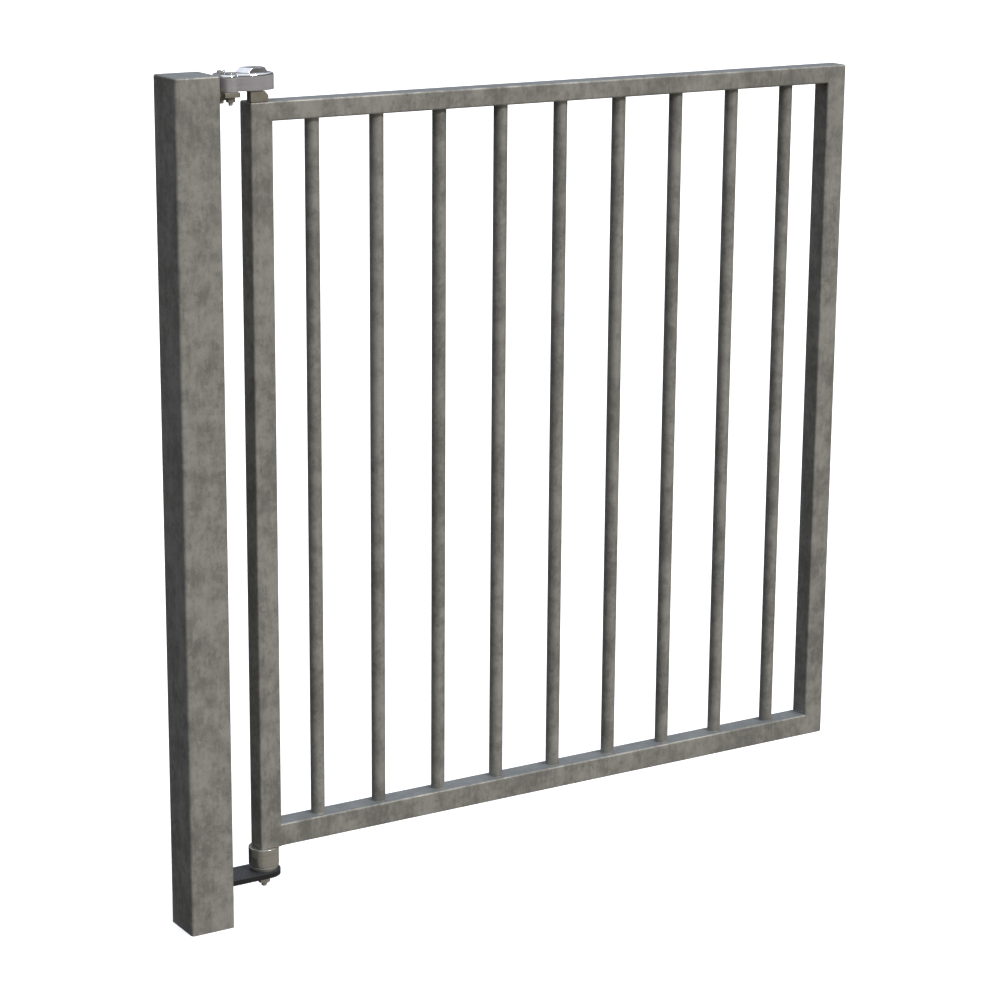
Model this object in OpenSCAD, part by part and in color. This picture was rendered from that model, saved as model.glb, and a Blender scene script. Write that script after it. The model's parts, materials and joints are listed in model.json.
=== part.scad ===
// Self-closing garden gate: one square post, a tubular leaf with round bars,
// a post-mounted closer head above and a ball-bearing pivot below.
// Frame: origin at the middle of the post's foot, +X from the post towards the
// leaf's free end, +Y away from the front, +Z up. Millimetres.

/* [Post] */
// Width of the square post
post_w = 80; // [70:1:110]
// Height of the post above the leaf's top
post_above = 47; // [35:1:120]
// Wall of the post tube
post_wall = 3; // [2:0.5:5]
// Outer corner radius of the post tube
post_r = 5; // [3:0.5:8]
// Thickness of the welded post cap
post_cap_t = 5; // [4:0.5:8]
// Rounding of the cap's top edge
post_edge_r = 3; // [1:0.5:4]

/* [Leaf] */
// Width of the leaf, outside to outside
leaf_w = 1200; // [800:1:1600]
// Height of the leaf, outside to outside
leaf_h = 1270; // [950:1:1700]
// Clear gap under the leaf
ground_gap = 120; // [105:1:180]
// Gap between the post and the leaf
post_gap = 62; // [58:1:90]
// Width and depth of the stile tubes
tube_w = 40; // [36:1:50]
// Wall of the leaf's tubes
tube_wall = 2; // [1.5:0.25:3]
// Outer corner radius of the leaf's tubes
tube_r = 3.5; // [2.5:0.25:4]
// Height of the top rail
top_rail_h = 32; // [25:1:50]
// Height of the bottom rail
bottom_rail_h = 40; // [30:1:60]
// Thickness of the stile end caps
end_cap_t = 4; // [4:0.5:6]

/* [Bars] */
// Number of upright bars
bar_n = 9; // [5:1:12]
// Diameter of each bar
bar_d = 24; // [16:1:28]
// Wall of each bar
bar_wall = 2; // [1.5:0.25:3]

/* [Hinge line] */
// Hinge axis, measured in from the stile's outer face
axis_inset = 14.5; // [14.5:0.5:18]
// Radial clearance of every running fit
running_fit = 0.05; // [0.03:0.01:0.1]
// Gap between faces that pass each other as the leaf swings
swing_gap = 0.5; // [0.4:0.1:1]

/* [Lower hinge] */
// Diameter of the bearing cup under the stile
cup_d = 52; // [48:1:60]
// Height of the bearing cup
cup_h = 32.5; // [30:0.5:45]
// Diameter of the cup's bearing chamber
chamber_d = 38; // [37:0.5:42]
// Height of the fixed base ring under the cup
base_ring_h = 8; // [6:0.5:12]
// Diameter of the base ring where it sits on the plate
base_ring_foot_d = 45; // [40:1:50]
// Thickness of the hinge plate
plate_t = 9.5; // [6:0.5:12]
// Width of the hinge plate
plate_w = 57; // [50:1:70]
// Diameter of the pivot pin inside the cup
pivot_d = 16; // [14:0.5:18]
// Diameter of the pivot's threaded stud
stud_d = 12; // [10:1:12]
// Length of the stud below the plate
stud_drop = 22.5; // [22:0.5:40]
// Width across flats of the pivot nuts
pivot_nut_af = 18; // [17:0.5:19]
// Height of the full pivot nut
pivot_nut_h = 9; // [8:0.5:11]
// Height of the thin lock nut above it
lock_nut_h = 5; // [5:0.5:7]
// Thickness of the pivot washer
pivot_washer_t = 2; // [1.5:0.5:3]
// Diameter of the bearing balls
ball_d = 6; // [5:0.5:6]
// Number of bearing balls
ball_n = 12; // [8:1:12]
// Thickness of each bearing race
race_t = 3.5; // [3:0.5:4]

/* [Closer head] */
// Gap between the leaf's top and the head
head_gap = 18; // [16:0.5:24]
// Height of the head's side wall
head_wall_h = 23; // [20:0.5:30]
// Height of the crown above the side wall
head_crown_h = 4.5; // [3:0.5:5]
// Half width of the head over the leaf
head_half_w = 23; // [21:0.5:26]
// Reach of the head past the hinge axis
head_reach = 34; // [30:0.5:38]
// Radius of the long curve of the head's sides
head_side_r = 60; // [50:1:80]
// Radius of the head's foot lobe
foot_lobe_r = 15; // [14:0.5:16]
// Half length of the head's foot, across the post
foot_half_w = 27; // [26:0.5:30]
// Half width of the waist between the two lobes
waist_half_w = 14; // [12:0.5:16]
// Height of the faceted cover
cover_h = 8.5; // [6:0.5:10]

/* [Head bracket] */
// Thickness of the bracket plate
bracket_t = 8; // [6:0.5:10]
// Length of the bracket's foot along the leaf
bracket_l = 27; // [26:0.5:32]
// Distance from the post to the bracket's foot
bracket_stand_off = 14; // [12:0.5:18]
// Width of the bracket's neck
bracket_neck_w = 28; // [24:1:40]
// Diameter of the head bolts
bolt_d = 8; // [6:1:8]
// Length of the head bolts under the head
bolt_l = 45; // [43:1:50]
// Distance between the two head bolts
bolt_spacing = 32; // [28:0.5:32]

/* [Closer] */
// Outer diameter of the closer cartridge
cartridge_d = 24; // [24:0.5:24.5]
// Wall of the closer cartridge
cartridge_wall = 2; // [1.5:0.25:2]
// Outer diameter of the cartridge's neck
neck_d = 18; // [18:0.5:19]
// Diameter of the fixed spindle
spindle_d = 12; // [11:0.5:12]
// Wall of the cam sleeve on the spindle
cam_wall = 1.5; // [1.5:0.25:2]
// Height that the cam moves the piston in a full turn
cam_lead = 72; // [60:1:72]
// Widest opening of the leaf, in degrees
open_angle = 110; // [90:1:110]
// Diameter of the cross pin
cross_pin_d = 4; // [3:0.5:4]
// Length of the spring at rest
spring_l = 95; // [90:1:140]
// Wire of the return spring
spring_wire = 2.6; // [2:0.2:3]
// Number of turns of the return spring
spring_turns = 9; // [7:1:12]
// Distance from the hinge axis to the back of the clamp block
clamp_back = 5; // [4:0.5:7]
// Width of the clamp block
clamp_w = 31.5; // [30:0.5:34]

/* [Hidden] */
$fn = 64;
over = 1;

// Leaf and hinge line
leaf_x = post_w / 2 + post_gap;
leaf_end_x = leaf_x + leaf_w;
leaf_z = ground_gap;
leaf_top = leaf_z + leaf_h;
post_h = leaf_top + post_above;
axis_x = leaf_x + axis_inset;
stile_in = leaf_x + tube_w;
bar_pitch = leaf_w / (bar_n + 1);

// Lower hinge, from the leaf downwards
cup_bottom = leaf_z - cup_h;
ring_top = cup_bottom - swing_gap;
plate_top = ring_top - base_ring_h;
plate_bottom = plate_top - plate_t;
stud_bottom = plate_bottom - stud_drop;
pivot_washer_z = plate_bottom - pivot_washer_t;
lock_nut_z = pivot_washer_z - lock_nut_h;
pivot_nut_z = lock_nut_z - pivot_nut_h;

// Thrust bearing inside the cup
race_d = chamber_d - 2;
race_bore = pivot_d + 2 * running_fit;
ball_gap = 0.15;
ball_pitch_r = (race_d / 2 + race_bore / 2) / 2;
lower_race_z = ring_top;
ball_z = lower_race_z + race_t + ball_gap + ball_d / 2;
upper_race_z = ball_z + ball_d / 2 + ball_gap;
chamber_top = upper_race_z + race_t;
pivot_top = leaf_z - 2;
pivot_bush_wall = 2;

// Head
head_z = leaf_top + head_gap;
head_wall_top = head_z + head_wall_h;
head_top = head_wall_top + head_crown_h;
head_end_r = head_reach + 3;
head_centre_x = axis_x + head_reach - head_end_r;
foot_x = post_w / 2 + bracket_stand_off + bracket_l / 2;
crown_inset = 3;
counterbore_depth = 4;
bolt_head_d = 13;
bolt_head_h = 8;
boss_r = spindle_d / 2 + 4;
boss_h = 4;

// Bracket
bracket_z = head_z - bracket_t;
bolt_x = foot_x + 1;
bolt_seat_z = head_top - counterbore_depth;
washer_t = 1.6;
washer_z = bracket_z - washer_t;
nut_h = 6.5;
nut_z = washer_z - nut_h;
nut_af = 13;

// Closer, from the leaf's top downwards
cartridge_top = leaf_top - end_cap_t;
neck_top = head_z - boss_h - swing_gap - 0.5;
cartridge_bore = cartridge_d - 2 * cartridge_wall;
neck_bore = spindle_d + 3;
bush_len = 18;
shoulder_t = 4;
sleeve_od = spindle_d + 2 * cam_wall;
sleeve_top = cartridge_top - shoulder_t - 26;
spindle_bottom = sleeve_top - 20;
rod_d = spindle_d - 2;
piston_stroke = cam_lead * open_angle / 360;
pin_z = spindle_bottom - 6 - cross_pin_d / 2;
slot_clear = 0.3;
sleeve_bottom = pin_z - piston_stroke - cross_pin_d / 2 - 6;
piston_h = 12;
piston_top = sleeve_bottom - 4;
piston_bottom = piston_top - piston_h;
spring_bottom = piston_bottom - spring_l;
plug_h = 14;
plug_bottom = spring_bottom - plug_h;
cartridge_bottom = plug_bottom - 2;
needle_d = 4;

// Clamp block on the stile's top
clamp_x = leaf_x + 0.7;
clamp_depth = tube_w / 2 - clamp_back;
clamp_h = head_gap - swing_gap;
clamp_chamfer = 6.5;
clamp_screw_d = 5;

// Colours
galvanised = [0.47, 0.47, 0.45];
plated = [0.42, 0.38, 0.32];
alloy = [0.62, 0.61, 0.64];
nickel = [0.50, 0.49, 0.47];
blacked = [0.13, 0.13, 0.14];
steel = [0.55, 0.56, 0.58];
bronze = [0.72, 0.55, 0.30];
seal_black = [0.08, 0.08, 0.08];

// ---- shared shapes ----

// Rectangle with round corners, centred
module round_rect(w, d, r) {
  square([w - 2 * r, d], center = true);
  square([w, d - 2 * r], center = true);
  for (sx = [-1, 1], sy = [-1, 1])
    translate([sx * (w / 2 - r), sy * (d / 2 - r)]) circle(r);
}

// Upright rectangular tube, centred on its own axis
module upright_tube(w, d, r, wall, h) {
  difference() {
    linear_extrude(h) round_rect(w, d, r);
    translate([0, 0, -over]) linear_extrude(h + 2 * over)
      round_rect(w - 2 * wall, d - 2 * wall, max(r - wall, 0.5));
  }
}

// Plain ring
module ring(od, id, h) {
  difference() {
    cylinder(d = od, h = h);
    translate([0, 0, -over]) cylinder(d = id, h = h + 2 * over);
  }
}

// Hexagonal nut with a plain bore
module nut(af, bore, h) {
  difference() {
    cylinder(d = af / cos(30), h = h, $fn = 6);
    translate([0, 0, -over]) cylinder(d = bore, h = h + 2 * over);
  }
}

// Side view of a cap: square below, rounded at the chosen top corners
module cap_side(w, t, r, left, right) {
  translate([-w / 2, 0]) square([w, t - r]);
  translate([-w / 2 + (left ? r : 0), 0])
    square([w - (left ? r : 0) - (right ? r : 0), t]);
  if (left) translate([-w / 2 + r, t - r]) circle(r);
  if (right) translate([w / 2 - r, t - r]) circle(r);
}

// Turned corner of a cap: an upright pin with a rounded top rim
module cap_corner(t, r_corner, r_edge) {
  rotate_extrude() {
    square([r_corner, t - r_edge]);
    if (r_corner > r_edge) square([r_corner - r_edge, t]);
    intersection() {
      translate([r_corner - r_edge, t - r_edge]) circle(r_edge);
      square([r_corner, t]);
    }
  }
}

// Solid cap for a square tube, its top edges rounded
module cap(w, t, r_corner, r_edge, left, right) {
  corner = w / 2 - r_corner;
  round_sides = concat(left ? [-1] : [], right ? [1] : []);
  difference() {
    intersection() {
      linear_extrude(t) round_rect(w, w, r_corner);
      translate([0, w / 2 + over, 0]) rotate([90, 0, 0])
        linear_extrude(w + 2 * over) cap_side(w, t, r_edge, left, right);
      translate([-w / 2 - over, 0, 0]) rotate([90, 0, 90])
        linear_extrude(w + 2 * over) cap_side(w, t, r_edge, true, true);
    }
    for (sx = round_sides, sy = [-1, 1])
      translate([sx * (corner + r_corner), sy * (corner + r_corner), t / 2])
        cube([2 * r_corner, 2 * r_corner, t + 2 * over], center = true);
  }
  for (sx = round_sides, sy = [-1, 1])
    translate([sx * corner, sy * corner, 0]) cap_corner(t, r_corner, r_edge);
}

// Fillet weld along Y between an upright face and a level one
module fillet_weld(length, leg) {
  translate([0, length / 2, 0]) rotate([90, 0, 0])
    linear_extrude(length) polygon([[0, 0], [leg, 0], [0, leg]]);
}

// Moves its children to the hinge axis
module on_axis(z) {
  translate([axis_x, 0, z]) children();
}

// ---- post ----

module post() {
  color(galvanised)
    upright_tube(post_w, post_w, post_r, post_wall, post_h - post_cap_t);
}

module post_cap() {
  color(galvanised) translate([0, 0, post_h - post_cap_t])
    cap(post_w, post_cap_t, post_r, post_edge_r, true, true);
}

// ---- head bracket and head ----

module head_bracket() {
  color(plated) difference() {
    union() {
      translate([post_w / 2 + bracket_stand_off, -foot_half_w, bracket_z])
        cube([bracket_l, 2 * foot_half_w, bracket_t]);
      translate([post_w / 2, -bracket_neck_w / 2, bracket_z])
        cube([bracket_stand_off + over, bracket_neck_w, bracket_t]);
    }
    for (s = [-1, 1]) translate([bolt_x, s * bolt_spacing / 2, bracket_z - over])
      cylinder(d = bolt_d + 1, h = bracket_t + 2 * over);
  }
}

module bracket_weld() {
  color(plated) translate([post_w / 2, 0, bracket_z]) mirror([0, 0, 1])
    fillet_weld(bracket_neck_w, 5);
  color(plated) translate([post_w / 2, 0, head_z]) fillet_weld(bracket_neck_w, 5);
}

// Plan of the head: a foot lobe across the post, a waist and a long lobe
module head_plan(inset) {
  for (s = [-1, 1])
    translate([foot_x, s * (foot_half_w - foot_lobe_r)]) circle(foot_lobe_r - inset);
  translate([foot_x - foot_lobe_r + inset, -(foot_half_w - foot_lobe_r)])
    square([2 * (foot_lobe_r - inset), 2 * (foot_half_w - foot_lobe_r)]);
  translate([foot_x, -waist_half_w + inset])
    square([axis_x - foot_x, 2 * (waist_half_w - inset)]);
  intersection() {
    translate([head_centre_x, head_side_r - head_half_w]) circle(head_side_r - inset, $fn = 128);
    translate([head_centre_x, head_half_w - head_side_r]) circle(head_side_r - inset, $fn = 128);
    translate([head_centre_x, 0]) circle(head_end_r - inset);
  }
}

module head_body() {
  color(alloy) difference() {
    union() {
      translate([0, 0, head_z]) linear_extrude(head_wall_h) head_plan(0);
      translate([0, 0, head_z]) linear_extrude(head_wall_h + head_crown_h)
        head_plan(crown_inset);
      on_axis(head_z - boss_h) cylinder(r = boss_r, h = boss_h + over);
    }
    on_axis(head_z - boss_h - over) cylinder(d = spindle_d, h = head_top - head_z);
    on_axis(head_top - 8) cylinder(d = spindle_d - 2, h = 8 + over);
    for (s = [-1, 1]) translate([bolt_x, s * bolt_spacing / 2, 0]) {
      translate([0, 0, head_z - over]) cylinder(d = bolt_d + 0.6, h = head_top - head_z);
      translate([0, 0, bolt_seat_z]) cylinder(d = bolt_head_d + 1, h = counterbore_depth + over);
    }
  }
}

// Facets of the cover: the way each one faces, its distance from the axis at the foot, and how
// far it leans in by the top
cover_facets = [
  [3, 22.9, 5], [50, 20.2, 4.8], [90, 18, 4.5], [129.5, 23.5, 4],
  [194, 24.2, 9.2], [208, 23, 9.1], [270, 17.5, 2.2], [312, 20.6, 4]
];

// Corner between facet i and the next, at the foot for t = 0 and at the top for t = 1
function cover_corner(i, t) =
  let (f = cover_facets[i], g = cover_facets[(i + 1) % len(cover_facets)])
  let (d = f[1] - t * f[2], e = g[1] - t * g[2], s = sin(g[0] - f[0]))
    [(d * sin(g[0]) - e * sin(f[0])) / s, (e * cos(f[0]) - d * cos(g[0])) / s];

function cover_plan(t) = [for (i = [0 : len(cover_facets) - 1]) cover_corner(i, t)];

module head_cover() {
  color(alloy) hull() {
    on_axis(head_top) linear_extrude(1) polygon(cover_plan(0));
    on_axis(head_top + cover_h - 1) linear_extrude(1) polygon(cover_plan(1));
  }
}

module head_bolts() {
  color(steel) for (s = [-1, 1]) translate([bolt_x, s * bolt_spacing / 2, bolt_seat_z])
    difference() {
      union() {
        cylinder(d = bolt_head_d, h = bolt_head_h);
        translate([0, 0, -bolt_l]) cylinder(d = bolt_d, h = bolt_l + over);
      }
      translate([0, 0, bolt_head_h - 4]) cylinder(d = 6 / cos(30), h = 4 + over, $fn = 6);
    }
}

module head_washers() {
  color(steel) for (s = [-1, 1]) translate([bolt_x, s * bolt_spacing / 2, washer_z])
    ring(16, bolt_d, washer_t);
}

module head_nuts() {
  color(steel) for (s = [-1, 1]) translate([bolt_x, s * bolt_spacing / 2, nut_z])
    nut(nut_af, bolt_d, nut_h);
}

// ---- fixed half of the closer ----

module spindle() {
  color(steel) difference() {
    on_axis(spindle_bottom) cylinder(d = spindle_d, h = head_top - 8 - spindle_bottom);
    on_axis(head_top - 30) cylinder(d = needle_d + 2 * running_fit, h = 30);
  }
}

module cam_sleeve() {
  color(steel) difference() {
    on_axis(sleeve_bottom) cylinder(d = sleeve_od, h = sleeve_top - sleeve_bottom);
    on_axis(spindle_bottom) cylinder(d = spindle_d, h = sleeve_top - spindle_bottom + over);
    on_axis(sleeve_bottom - over)
      cylinder(d = rod_d + 2 * slot_clear, h = spindle_bottom - sleeve_bottom + 2 * over);
    cam_slot();
  }
}

// Helical slot for the cross pin, from rest down to the widest opening
module cam_slot() {
  slot_w = cross_pin_d + 2 * slot_clear;
  steps = 22;
  for (i = [0 : steps]) on_axis(pin_z - piston_stroke * i / steps)
    rotate([0, 0, open_angle * i / steps]) rotate([0, 90, 0])
      cylinder(d = slot_w, h = sleeve_od + 2, center = true, $fn = 24);
}

module speed_screw() {
  color(steel) difference() {
    union() {
      on_axis(head_top - 28) cylinder(d = needle_d, h = 21);
      on_axis(head_top - 7.9) cylinder(d = spindle_d - 4, h = 5);
    }
    on_axis(head_top - 5.4) cylinder(d = 4 / cos(30), h = 3, $fn = 6);
  }
}

// ---- lower hinge ----

module hinge_plate() {
  color(blacked) difference() {
    union() {
      translate([post_w / 2, -plate_w / 2, plate_bottom])
        cube([axis_x - post_w / 2, plate_w, plate_t]);
      on_axis(plate_bottom) cylinder(d = plate_w, h = plate_t);
    }
    on_axis(plate_bottom - over) cylinder(d = stud_d, h = plate_t + 2 * over);
  }
}

module plate_weld() {
  color(blacked) translate([post_w / 2, 0, plate_top]) fillet_weld(plate_w, 5);
  color(blacked) translate([post_w / 2, 0, plate_bottom]) mirror([0, 0, 1])
    fillet_weld(plate_w, 5);
}

module base_ring() {
  color(nickel) difference() {
    on_axis(plate_top) cylinder(d1 = base_ring_foot_d, d2 = cup_d - 1, h = base_ring_h);
    on_axis(plate_top - over) cylinder(d = pivot_d, h = base_ring_h + 2 * over);
  }
}

module pivot_pin() {
  color(steel) union() {
    on_axis(plate_top) cylinder(d = pivot_d, h = pivot_top - plate_top);
    on_axis(stud_bottom + 3) cylinder(d = stud_d, h = plate_top - stud_bottom);
    on_axis(stud_bottom) cylinder(d1 = stud_d - 5, d2 = stud_d, h = 3);
  }
}

module pivot_washer() {
  color(steel) on_axis(pivot_washer_z) ring(2 * stud_d, stud_d, pivot_washer_t);
}

module lock_nut() {
  color(nickel) on_axis(lock_nut_z) rotate([0, 0, 20]) nut(pivot_nut_af, stud_d, lock_nut_h);
}

module pivot_nut() {
  color(nickel) on_axis(pivot_nut_z) nut(pivot_nut_af, stud_d, pivot_nut_h);
}

module lower_race() {
  color(steel) on_axis(lower_race_z) ring(race_d, pivot_d, race_t);
}

module ball_cage() {
  color(bronze) difference() {
    on_axis(ball_z - 0.6) ring(race_d - 2, race_bore + 1.5, 1.2);
    for (i = [0 : ball_n - 1]) on_axis(ball_z - 2) rotate([0, 0, i * 360 / ball_n])
      translate([ball_pitch_r, 0, 0]) cylinder(d = ball_d + 0.2, h = 4);
  }
}

module bearing_balls() {
  color(steel) for (i = [0 : ball_n - 1]) on_axis(ball_z) rotate([0, 0, i * 360 / ball_n])
    translate([ball_pitch_r, 0, 0]) sphere(d = ball_d);
}

module upper_race() {
  color(steel) on_axis(upper_race_z) ring(race_d, race_bore + 0.5, race_t);
}

module pivot_bush() {
  color(bronze) on_axis(chamber_top)
    ring(pivot_d + 2 * pivot_bush_wall, race_bore, leaf_z - chamber_top);
}

module bearing_cup() {
  color(nickel) difference() {
    union() {
      on_axis(cup_bottom) cylinder(d = cup_d, h = cup_h - 1);
      on_axis(leaf_z - 1) cylinder(d1 = cup_d, d2 = cup_d - 2, h = 1);
    }
    on_axis(cup_bottom - over) cylinder(d = chamber_d, h = chamber_top - cup_bottom + over);
    on_axis(chamber_top - over)
      cylinder(d = pivot_d + 2 * pivot_bush_wall, h = leaf_z - chamber_top + 2 * over);
  }
}

// ---- leaf frame ----

// One stile tube between its caps; x is its middle
module stile(x) {
  translate([x, 0, leaf_z + end_cap_t])
    upright_tube(tube_w, tube_w, tube_r, tube_wall, leaf_h - 2 * end_cap_t);
}

module hinge_stile() {
  color(galvanised) stile(leaf_x + tube_w / 2);
}

module latch_stile() {
  color(galvanised) stile(leaf_end_x - tube_w / 2);
}

module hinge_stile_top_cap() {
  color(galvanised) difference() {
    translate([leaf_x + tube_w / 2, 0, leaf_top - end_cap_t])
      cap(tube_w, end_cap_t, tube_r, tube_r, true, false);
    on_axis(leaf_top - end_cap_t - over) cylinder(d = neck_d, h = end_cap_t + 2 * over);
    for (x = clamp_screw_x()) translate([x, clamp_screw_y(), leaf_top - end_cap_t - over])
      cylinder(d = clamp_screw_d, h = end_cap_t + 2 * over);
  }
}

module hinge_stile_foot_cap() {
  color(galvanised) translate([leaf_x + tube_w / 2, 0, leaf_z + end_cap_t]) mirror([0, 0, 1])
    cap(tube_w, end_cap_t, tube_r, 1, true, false);
}

module latch_stile_top_cap() {
  color(galvanised) translate([leaf_end_x - tube_w / 2, 0, leaf_top - end_cap_t])
    cap(tube_w, end_cap_t, tube_r, tube_r, false, true);
}

module latch_stile_foot_cap() {
  color(galvanised) translate([leaf_end_x - tube_w / 2, 0, leaf_z + end_cap_t]) mirror([0, 0, 1])
    cap(tube_w, end_cap_t, tube_r, tube_r, false, true);
}

// Rail tube along X, its ends shaped to the round corners of both stiles
module rail(z, h) {
  difference() {
    translate([stile_in - tube_r, 0, z + h / 2]) rotate([90, 0, 90])
      difference() {
        linear_extrude(leaf_w - 2 * tube_w + 2 * tube_r) round_rect(tube_w, h, tube_r);
        translate([0, 0, -over]) linear_extrude(leaf_w)
          round_rect(tube_w - 2 * tube_wall, h - 2 * tube_wall, tube_r - tube_wall);
      }
    for (x = [leaf_x + tube_w / 2, leaf_end_x - tube_w / 2])
      translate([x, 0, leaf_z - over]) linear_extrude(leaf_h + 2 * over)
        round_rect(tube_w, tube_w, tube_r);
  }
}

module top_rail() {
  color(galvanised) rail(leaf_top - top_rail_h, top_rail_h);
}

module bottom_rail() {
  color(galvanised) rail(leaf_z, bottom_rail_h);
}

// Bar number i, counted from the hinge side
module bar(i) {
  color(galvanised) translate([leaf_x + i * bar_pitch, 0, leaf_z + bottom_rail_h])
    ring(bar_d, bar_d - 2 * bar_wall, leaf_h - top_rail_h - bottom_rail_h);
}

// ---- moving half of the closer ----

module closer_tube() {
  color(blacked) difference() {
    union() {
      on_axis(cartridge_bottom) cylinder(d = cartridge_d, h = cartridge_top - cartridge_bottom);
      on_axis(cartridge_top - over) cylinder(d = neck_d, h = neck_top - cartridge_top + over);
    }
    on_axis(cartridge_bottom - over)
      cylinder(d = cartridge_bore, h = cartridge_top - shoulder_t - cartridge_bottom + over);
    on_axis(cartridge_top - shoulder_t - over)
      cylinder(d = neck_bore, h = neck_top - cartridge_top + shoulder_t + 2 * over);
  }
}

module neck_bush() {
  color(bronze) on_axis(cartridge_top - shoulder_t)
    ring(neck_bore, spindle_d + 2 * running_fit, neck_top - 2 - cartridge_top + shoulder_t);
}

module neck_seal() {
  color(seal_black) on_axis(neck_top - 2) ring(neck_bore, spindle_d + 4 * running_fit, 2);
}

module guide_sleeve() {
  slot_w = cross_pin_d + 2 * slot_clear;
  color(steel) difference() {
    on_axis(sleeve_bottom) ring(cartridge_bore, sleeve_od + 0.6, sleeve_top - sleeve_bottom);
    on_axis(pin_z) rotate([0, 90, 0]) cylinder(d = slot_w, h = cartridge_d, center = true);
    on_axis(pin_z - piston_stroke) rotate([0, 90, 0])
      cylinder(d = slot_w, h = cartridge_d, center = true);
    translate([axis_x - cartridge_d / 2, -slot_w / 2, pin_z - piston_stroke])
      cube([cartridge_d, slot_w, piston_stroke]);
  }
}

module closer_plug() {
  color(steel) difference() {
    on_axis(plug_bottom) cylinder(d = cartridge_bore, h = plug_h);
    on_axis(plug_bottom + 5) ring(cartridge_bore + over, cartridge_bore - 3, 3);
  }
}

module plug_seal() {
  color(seal_black) on_axis(plug_bottom + 5) ring(cartridge_bore, cartridge_bore - 3, 3);
}

function clamp_screw_x() = [clamp_x + 5, clamp_x + clamp_w - 9.5];
function clamp_screw_y() = -tube_w / 2 + 5.5;

module clamp_block() {
  color(plated) difference() {
    translate([clamp_x, -tube_w / 2 + clamp_depth, leaf_top]) rotate([90, 0, 0])
      linear_extrude(clamp_depth) polygon([
        [0, 0], [clamp_w, 0], [clamp_w, clamp_h - clamp_chamfer - 1],
        [clamp_w - clamp_chamfer, clamp_h], [0, clamp_h]
      ]);
    on_axis(leaf_top - over) cylinder(d = neck_d, h = clamp_h + 2 * over);
    on_axis(head_z - boss_h - swing_gap) cylinder(r = boss_r + swing_gap, h = boss_h + over);
    for (x = clamp_screw_x()) translate([x, clamp_screw_y(), leaf_top]) {
      translate([0, 0, -over]) cylinder(d = clamp_screw_d, h = clamp_h + 2 * over);
      translate([0, 0, clamp_h - 5]) cylinder(d = 9, h = 5 + over);
    }
  }
}

module clamp_screws() {
  color(steel) for (x = clamp_screw_x()) translate([x, clamp_screw_y(), leaf_top])
    difference() {
      union() {
        translate([0, 0, clamp_h - 5]) cylinder(d = 8.5, h = 4.5);
        translate([0, 0, -end_cap_t]) cylinder(d = clamp_screw_d, h = clamp_h + end_cap_t - 5 + over);
      }
      translate([0, 0, clamp_h - 3]) cylinder(d = 4 / cos(30), h = 3, $fn = 6);
    }
}

// ---- piston ----

module piston() {
  color(steel) difference() {
    union() {
      on_axis(piston_top - over) cylinder(d = rod_d, h = pin_z + 5 - piston_top + over);
      on_axis(piston_bottom) cylinder(d = cartridge_bore - 4 * running_fit, h = piston_h);
    }
    on_axis(piston_bottom + 4.5) ring(cartridge_bore + over, cartridge_bore - 3, 3);
    on_axis(pin_z) rotate([0, 90, 0]) cylinder(d = cross_pin_d, h = cartridge_d, center = true);
  }
}

module piston_seal() {
  color(seal_black) on_axis(piston_bottom + 4.5)
    ring(cartridge_bore - 2 * running_fit, cartridge_bore - 3, 3);
}

module cross_pin() {
  color(steel) on_axis(pin_z) rotate([0, 90, 0])
    cylinder(d = cross_pin_d, h = cartridge_bore - 1, center = true);
}

// Round-wire compression spring: rings of points carried along a helix
module return_spring() {
  sides = 8;
  per_turn = 14;
  rings = spring_turns * per_turn;
  mean_r = (cartridge_bore - 1) / 2 - spring_wire / 2;
  rise = (spring_l - spring_wire - 0.2) / rings;
  start_z = spring_bottom + spring_wire / 2 + 0.1;
  points = [
    for (i = [0 : rings], k = [0 : sides - 1])
      let (a = i * 360 / per_turn, b = k * 360 / sides, r = mean_r + spring_wire / 2 * cos(b))
        [axis_x + r * cos(a), r * sin(a), start_z + i * rise + spring_wire / 2 * sin(b)]
  ];
  sides_faces = [
    for (i = [0 : rings - 1], k = [0 : sides - 1])
      let (n = (k + 1) % sides)
        [i * sides + k, (i + 1) * sides + k, (i + 1) * sides + n, i * sides + n]
  ];
  ends = [
    [for (k = [0 : sides - 1]) k],
    [for (k = [0 : sides - 1]) rings * sides + sides - 1 - k]
  ];
  color(steel) polyhedron(points, concat(sides_faces, ends), convexity = 10);
}

// ---- the tree of nodes ----

post();
post_cap();
head_bracket();
bracket_weld();
head_body();
head_cover();
head_bolts();
head_washers();
head_nuts();
spindle();
cam_sleeve();
speed_screw();
hinge_plate();
plate_weld();
base_ring();
pivot_pin();
pivot_washer();
lock_nut();
pivot_nut();
lower_race();
ball_cage();
bearing_balls();
upper_race();
pivot_bush();
bearing_cup();
hinge_stile();
hinge_stile_top_cap();
hinge_stile_foot_cap();
latch_stile();
latch_stile_top_cap();
latch_stile_foot_cap();
top_rail();
bottom_rail();
bar(1);  // bar_1
bar(2);  // bar_2
bar(3);  // bar_3
bar(4);  // bar_4
bar(5);  // bar_5
bar(6);  // bar_6
bar(7);  // bar_7
bar(8);  // bar_8
bar(9);  // bar_9
closer_tube();
neck_bush();
neck_seal();
guide_sleeve();
closer_plug();
plug_seal();
clamp_block();
clamp_screws();
piston();
piston_seal();
cross_pin();
return_spring();
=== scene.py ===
import json
from math import cos, pi, radians, sin, sqrt

import bmesh
import bpy
import numpy as np
from mathutils import Matrix, Vector


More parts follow.
